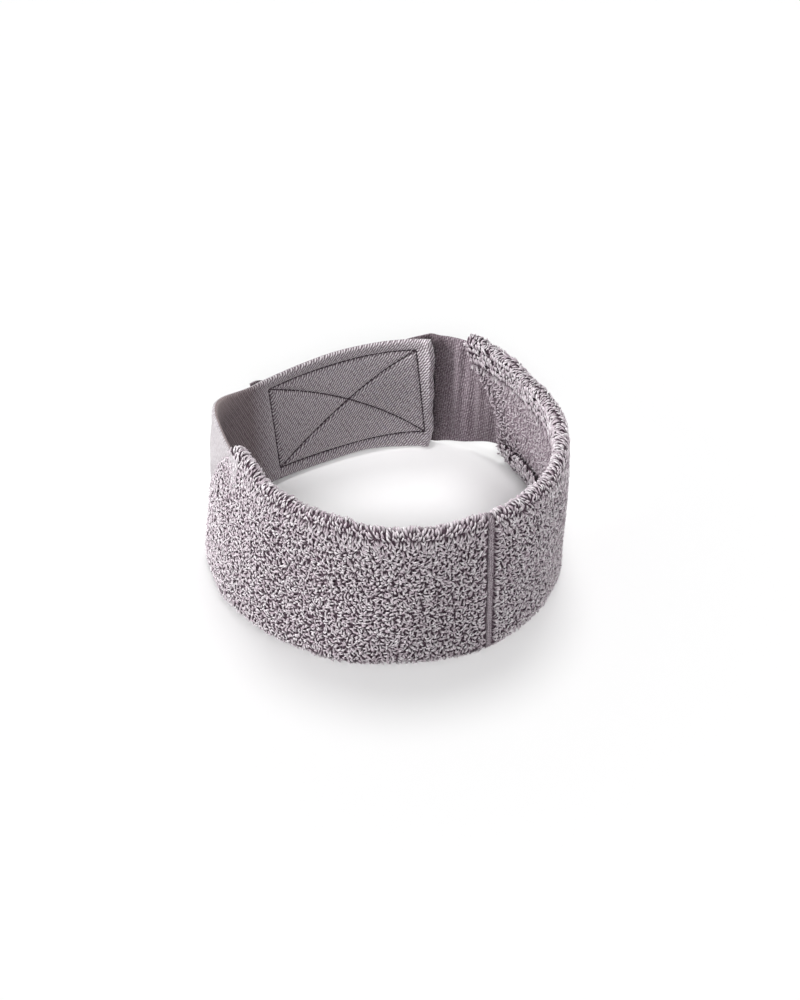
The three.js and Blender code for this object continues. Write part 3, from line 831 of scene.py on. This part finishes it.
co, deg = positions(tab)
s_at, z_at = arc_length(deg), co[:, 2]
near = np.min([line_distance(s_at, z_at, *line) for line in box_lines], axis=0)
rim = np.minimum(s_at - s_tab[0], np.minimum(z_at - PLAIN_LOW, PLAIN_HIGH - z_at))
simulate(tab, (near < 1.0) | (rim < 0.9) | (deg > 186), 7.0, 1.1)
subdivide(tab)
co, deg = positions(tab)
s_at, z_at = arc_length(deg), co[:, 2]
near = np.min([line_distance(s_at, z_at, *line) for line in box_lines], axis=0)
n_at = np.hypot(co[:, 0] - RING_CENTRE[0], co[:, 1] - RING_CENTRE[1]) - (
    wall_radius(deg) + flare(deg) * (0.5 - z_at / HEIGHT))
dip = 1.15 * np.exp(-(near / 1.25) ** 2) * np.where(n_at < -0.7, 1.0, -0.25)
pucker = 0.10 * np.exp(-(near / 3.0) ** 2) * np.sin(s_at * 1.9 + z_at * 1.4)
co = co + outward(deg) * (dip + pucker)[:, None]
tab.data.vertices.foreach_set("co", (co * 0.001).astype(np.float32).ravel())
tab.data.update()


def drop(tree, deg, z, start, inward):
    """The first points of a piece met along the wall's normal, and that normal."""
    origin = ring(start, deg, z)
    away = outward(deg)
    way = -away if inward else away
    hits = []
    for o, d in zip(origin, way):
        hit = tree.ray_cast(Vector(o * 0.001), Vector(d), 0.05)[0]
        hits.append(np.array(hit) * 1000 if hit is not None else o + d * abs(start))
    return np.array(hits), -way


def line_on(tree, a, b, start, inward, bow=0.0, count=70):
    s, z = np.linspace(a[0], b[0], count), np.linspace(a[1], b[1], count)
    z = z + bow * np.sin(np.linspace(0, np.pi, count))
    return drop(tree, angle_at(s), z, start, inward)


surface = BVHTree.FromObject(tab, bpy.context.evaluated_depsgraph_get())
box_threads = [
    ("tab_box_upper_thread", "tab_box_stitch_upper"), ("tab_box_end_thread", "tab_box_stitch_end"),
    ("tab_box_lower_thread", "tab_box_stitch_lower"), ("tab_box_root_thread", "tab_box_stitch_root"),
    ("tab_cross_under_thread", "tab_cross_stitch_under"), ("tab_cross_over_thread", "tab_cross_stitch_over"),
]


def tab_blend(obj):
    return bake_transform(obj, "band", "hook_tab", frame_point(0, 200, MIDDLE), frame_point(0, 172, MIDDLE))


for (name, replaced), (a, b, bow) in zip(box_threads, box_lines):
    inside_run = line_on(surface, a, b, -9, False, bow)
    made = thread(name, [inside_run], 2.5, 0.42, DARK_THREAD, 0.0)
    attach(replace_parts(made, replaced), "hook_tab")
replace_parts(tab_blend(tab), "tab_inner_cloth", "tab_outer_cloth", "tab_interfacing")

# Strap: outer jersey and brushed lining sewn together, with slack folds near its root.
STRAP_START, STRAP_LAST = 405.8, 507.0


def strap_low(deg):
    return PLAIN_LOW + 6.2 * (1 - ease(deg, 410, 426)) - 2.9 * np.exp(-((deg - 437) / 6) ** 2)


def strap_high(deg):
    return 69.6 - 3.8 * ease(deg, 436, 449) - 3.2 * ease(deg, 468, 496) + 2.6 * ease(deg, 499, 505)


s_strap = stations(float(arc_length(STRAP_START)), float(arc_length(STRAP_LAST)), 1.6, [0, 0.25, 0.7, 1.1])
z_strap = stations(PLAIN_LOW, PLAIN_HIGH, 1.8, [0, 0.25, 0.7, 1.1])
ss, zz = np.meshgrid(s_strap, z_strap, indexing="ij")
dd = angle_at(ss)
edge = np.minimum(s_strap[-1] - ss, np.minimum(zz - PLAIN_LOW, PLAIN_HIGH - zz))
edge = np.minimum(edge, ss - s_strap[0])
zz = strap_low(dd) + (zz - PLAIN_LOW) * (strap_high(dd) - strap_low(dd)) / (PLAIN_HIGH - PLAIN_LOW)
half = round_rim(edge, 1.1, 0.4 + 0.65 * ease(dd - right_end(zz), 0.5, 4))
near_root = (1 - ease(dd, 432, 455)) * ease(dd - right_end(zz), 0, 4)
folds = 0.7 * np.sin(ss * 0.95 + 0.03 * zz) + 0.6 * np.sin(ss * 0.47 + 1.2 - 0.02 * zz)
fold = near_root * ease(edge, 0, 6) * folds
fold = fold + 1.6 * np.exp(-((dd - 436.0) / 1.7) ** 2)
over = ring(0.05 - half + fold, dd, zz)
under = ring(0.05 + half + fold, dd, zz)
strap = pillow("strap_cloth", over, under, BRUSHED, np.stack([ss, zz], -1), JERSEY)
co, deg = positions(strap)
s_at, z_at = arc_length(deg + 360), co[:, 2]
rim = np.minimum(s_strap[-1] - s_at, s_at - s_strap[0])
rim = np.minimum(rim, np.minimum(z_at - strap_low(deg + 360), strap_high(deg + 360) - z_at))
simulate(strap, np.abs(rim - 3.0) < 0.9, 2.0, 0.35)
subdivide(strap)
surface_strap = BVHTree.FromObject(strap, bpy.context.evaluated_depsgraph_get())


def strap_blend(obj):
    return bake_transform(obj, "side_panel", "loop_strap", frame_point(0, 414, MIDDLE), frame_point(0, 430, MIDDLE))


low, high, last = PLAIN_LOW + 3, float(strap_high(495)) - 3, s_strap[-1] - 3
first = float(arc_length(424))
strap_lines = [("strap_lower_thread", "strap_lower_stitch", (first, low + 1.0), (last, low)),
               ("strap_upper_thread", "strap_upper_stitch", (first, high + 2.0), (last, high)),
               ("strap_end_thread", "strap_end_stitch", (last, low), (last, high))]
for name, replaced, a, b in strap_lines:
    outside = line_on(surface_strap, a, b, 9, True)
    made = thread(name, [outside], 2.8, 0.24, GREY_THREAD, -0.02)
    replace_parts(strap_blend(made), replaced)
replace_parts(strap_blend(strap), "strap_loop_facing", "strap_outer_cloth")

# Nap of short brushed loops on the strap's inside, for the hooks to hold.
def scattered(from_deg, to_deg, from_z, to_z, pitch, jitter=0.4):
    along = np.arange(arc_length(from_deg), arc_length(to_deg), pitch)
    s, z = np.meshgrid(along, np.arange(from_z, to_z, pitch))
    s = (s + rng.uniform(-jitter, jitter, s.shape) * pitch).ravel()
    z = (z + rng.uniform(-jitter, jitter, z.shape) * pitch).ravel()
    return angle_at(s), z


def upright(deg, normal):
    """Unit vectors along the ring and across it, in the cloth's own plane."""
    a = np.radians(deg)
    tangent = np.stack([-np.sin(a), np.cos(a), 0 * a], -1)
    return tangent, np.cross(normal, tangent)


deg, z = scattered(425, 495.5, 6.5, 63.5, 1.5)
here, normal = drop(surface_strap, deg, z, -8, False)
tangent, down = upright(deg, normal)
count = len(deg)
angle = rng.uniform(-np.pi, np.pi, count)
length = rng.uniform(0.8, 1.5, count)
height = rng.uniform(0.15, 0.4, count)
curl = rng.normal(0, 0.2, count)
lines = leaning_loops(here, tangent, down, normal, angle, length, height, curl, np.full(count, 0.14), -0.15)
nap = tubes("strap_nap", lines, np.full((count, 1), 0.09) * YARN_TAPER, 4, NAP)
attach(nap, "loop_strap")

# Hook tape on the outside of the tab.
HOOK_FROM, HOOK_TO, HOOK_LOW, HOOK_HIGH = 77.5, 142.5, 7.0, 64.0
s_tape = stations(float(arc_length(HOOK_FROM)), float(arc_length(HOOK_TO)), 2.0, [0, 0.12, 0.4])
z_tape = stations(HOOK_LOW, HOOK_HIGH, 2.0, [0, 0.12, 0.4])
ss, zz = np.meshgrid(s_tape, z_tape, indexing="ij")
dd = angle_at(ss)
edge = np.minimum(np.minimum(ss - s_tape[0], s_tape[-1] - ss), np.minimum(zz - HOOK_LOW, HOOK_HIGH - zz))
half = round_rim(edge, 0.4, 0.45)
TAPE_MIDDLE = 1.25
over, under = ring(TAPE_MIDDLE - half, dd, zz), ring(TAPE_MIDDLE + half, dd, zz)
tape = pillow("hook_tape_base", over, under, TAPE, np.stack([ss, zz], -1), TAPE)
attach(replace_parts(tape, "hook_tape"), "hook_tab")
deg, z = scattered(HOOK_FROM + 1, HOOK_TO - 1, HOOK_LOW + 1.5, HOOK_HIGH - 1.5, 1.9, 0.08)
normal = outward(deg)
tangent, up = upright(deg, normal)
bend = np.array([(0, -0.1), (0.02, 0.25), (0.08, 0.5), (0.28, 0.66), (0.46, 0.55), (0.5, 0.36)])
side = np.where(rng.random(len(deg)) < 0.5, -1.0, 1.0)[:, None, None]
foot = ring(TAPE_MIDDLE + 0.45, deg, z)[:, None]
lines = foot + side * bend[:, 0, None] * up[:, None] + bend[:, 1, None] * normal[:, None]
hooks = tubes("tape_hooks", lines, np.full((len(deg), 1), 0.1) * np.array([1.3, 1, 1, 1, 0.9, 0.6]), 4, HOOKS)
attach(hooks, "hook_tab")


def binding(name, end, outward, replaced, replaced_stitch):
    """The turned, bound end of the folded terry, and the stitches that hold the plain cloth in it."""
    z = stations(3.0, 71.5, 3.0, [0, 0.4, 1.2])
    turn = np.linspace(0, 2 * np.pi, 17)[:-1]
    full = round_rim(np.minimum(z - 3.0, 71.5 - z), 1.2, 1.0)[:, None]
    deg = (end(z) + outward * 0.35)[:, None]
    zz = np.broadcast_to(z[:, None], (len(z), 16))
    n = 0.35 + 1.25 * full * np.cos(turn)
    around = deg + degrees_for(0.8, 200) * full * np.sin(turn)
    points = ring(n + waviness(deg, zz) + hang(deg, zz), around, zz)
    faces = grid_faces(len(z), 16, wrap=True)
    i, j = np.meshgrid(np.arange(len(z) - 1), np.arange(16), indexing="ij")
    i, j = i.ravel(), j.ravel()
    uv = np.stack([np.stack([j, j, j + 1, j + 1], 1) * 0.6, z[np.stack([i, i + 1, i + 1, i], 1)]], -1)
    made = build(name, points.reshape(-1, 3), faces, SEAM_KNIT, {"Cloth": uv.reshape(-1, 2)})
    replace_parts(made, replaced)
    zs = np.linspace(5, 70, 60)
    ds = end(zs) - outward * 1.6
    p = TOP_END + FOLD_TOP - zs
    here, _, _, out = terry_frame(ds, p)
    stitched = thread(f"{name}_thread", [(here + out * 0.3, out)], 2.8, 0.24, GREY_THREAD, 0.0)
    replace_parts(stitched, replaced_stitch)
    return made, stitched


for obj in binding("tab_end_binding", left_end, -1, "tab_root_rib", "tab_root_rib_stitch"):
    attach(obj, "band")
for obj in binding("strap_end_binding", right_end, 1, "strap_root_rib", "strap_root_rib_stitch"):
    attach(obj, "side_panel")

# ---------------------------------------------------------------- camera, floor and light

scene = bpy.context.scene
ELEVATION = math.radians(38)
DISTANCE = 0.56
LENS = 42.19
AIM = Vector((0.0070, -0.0146, 0.0375))
camera = bpy.data.objects.new("camera", bpy.data.cameras.new("camera"))
scene.collection.objects.link(camera)
camera.data.lens = LENS
camera.data.clip_start, camera.data.clip_end = 0.01, 20
back = Vector((0, -math.cos(ELEVATION), math.sin(ELEVATION)))
camera.location = AIM + back * DISTANCE
camera.rotation_euler = (-back).to_track_quat("-Z", "Y").to_euler()
scene.camera = camera

floor_mesh = bpy.data.meshes.new("floor")
REACH = 9
corners = [(-REACH, -REACH, 0), (REACH, -REACH, 0), (REACH, REACH, 0), (-REACH, REACH, 0)]
floor_mesh.from_pydata(corners, [], [(0, 1, 2, 3)])
floor = bpy.data.objects.new("floor", floor_mesh)
scene.collection.objects.link(floor)
floor_material = bpy.data.materials.new("white_sweep")
floor_material.use_nodes = True
floor_shader = floor_material.node_tree.nodes["Principled BSDF"]
floor_shader.inputs["Base Color"].default_value = (0.9, 0.9, 0.9, 1)
floor_shader.inputs["Roughness"].default_value = 0.9
floor_mesh.materials.append(floor_material)


def soft_light(name, position, size, power):
    lamp = bpy.data.lights.new(name, "AREA")
    lamp.shape = "DISK"
    lamp.size = size
    lamp.energy = power
    obj = bpy.data.objects.new(name, lamp)
    scene.collection.objects.link(obj)
    obj.location = position
    obj.rotation_euler = (Vector((0, 0, 0.03)) - Vector(position)).to_track_quat("-Z", "Y").to_euler()
    return obj


def lights_only(lamp, objects, state):
    """Keeps the sweep's exposure and the headband's apart, as a studio's flags would."""
    group = bpy.data.collections.new(f"{lamp.name}_receivers")
    for obj in objects:
        group.objects.link(obj)
    lamp.light_linking.receiver_collection = group
    for entry in group.collection_objects:
        entry.light_linking.link_state = state


overhead = soft_light("overhead", (-0.1, -0.1, 1.3), 0.6, 9.5)
lights_only(overhead, [floor], "EXCLUDE")
key = soft_light("left_key", (-1.15, -0.28, 0.52), 0.4, 15.5)
lights_only(key, [floor], "EXCLUDE")
fill = soft_light("right_fill", (1.1, -0.5, 0.5), 0.4, 3.4)
lights_only(fill, [floor], "EXCLUDE")
SWEEP_SUNS = [("sweep_front", 36, False, 2.35), ("sweep_back", 66, True, 1.1)]
for name, elevation, from_behind, strength in SWEEP_SUNS:
    lamp = bpy.data.lights.new(name, "SUN")
    lamp.energy = strength
    lamp.angle = math.radians(23)
    sun = bpy.data.objects.new(name, lamp)
    scene.collection.objects.link(sun)
    tilt = math.radians(90 - elevation)
    sun.rotation_euler = (-tilt if from_behind else tilt, 0, 0)
    lights_only(sun, [floor], "INCLUDE")
bounce = bpy.data.lights.new("sweep_bounce", "SPOT")
bounce.energy = 4.6
bounce.spot_size = math.radians(15)
bounce.spot_blend = 1.0
bounce.shadow_soft_size = 0.03
bounce_obj = bpy.data.objects.new("sweep_bounce", bounce)
scene.collection.objects.link(bounce_obj)
bounce_obj.location = (0.0, 0.03, 0.6)
bounce_obj.scale = (1.9, 1, 1)
bounce_obj.rotation_euler = (Vector((0, 0.07, 0)) - bounce_obj.location).to_track_quat("-Z", "Y").to_euler()
lights_only(bounce_obj, [floor], "INCLUDE")
world = bpy.data.worlds.new("studio")
world.use_nodes = True
sky = world.node_tree
direction = node(sky, "ShaderNodeSeparateXYZ", {0: node(sky, "ShaderNodeTexCoord").outputs["Generated"]})
low_sky = maths(sky, "POWER", maths(sky, "SUBTRACT", 1.0, maths(sky, "ABSOLUTE", direction.outputs[2])), 2.0)
strength = maths(sky, "ADD", maths(sky, "MULTIPLY", low_sky, 0.58), 0.27)
sky.links.new(strength, sky.nodes["Background"].inputs["Strength"])
sky.nodes["Background"].inputs["Color"].default_value = (1, 1, 1, 1)
scene.world = world
scene.view_settings.view_transform = "Standard"
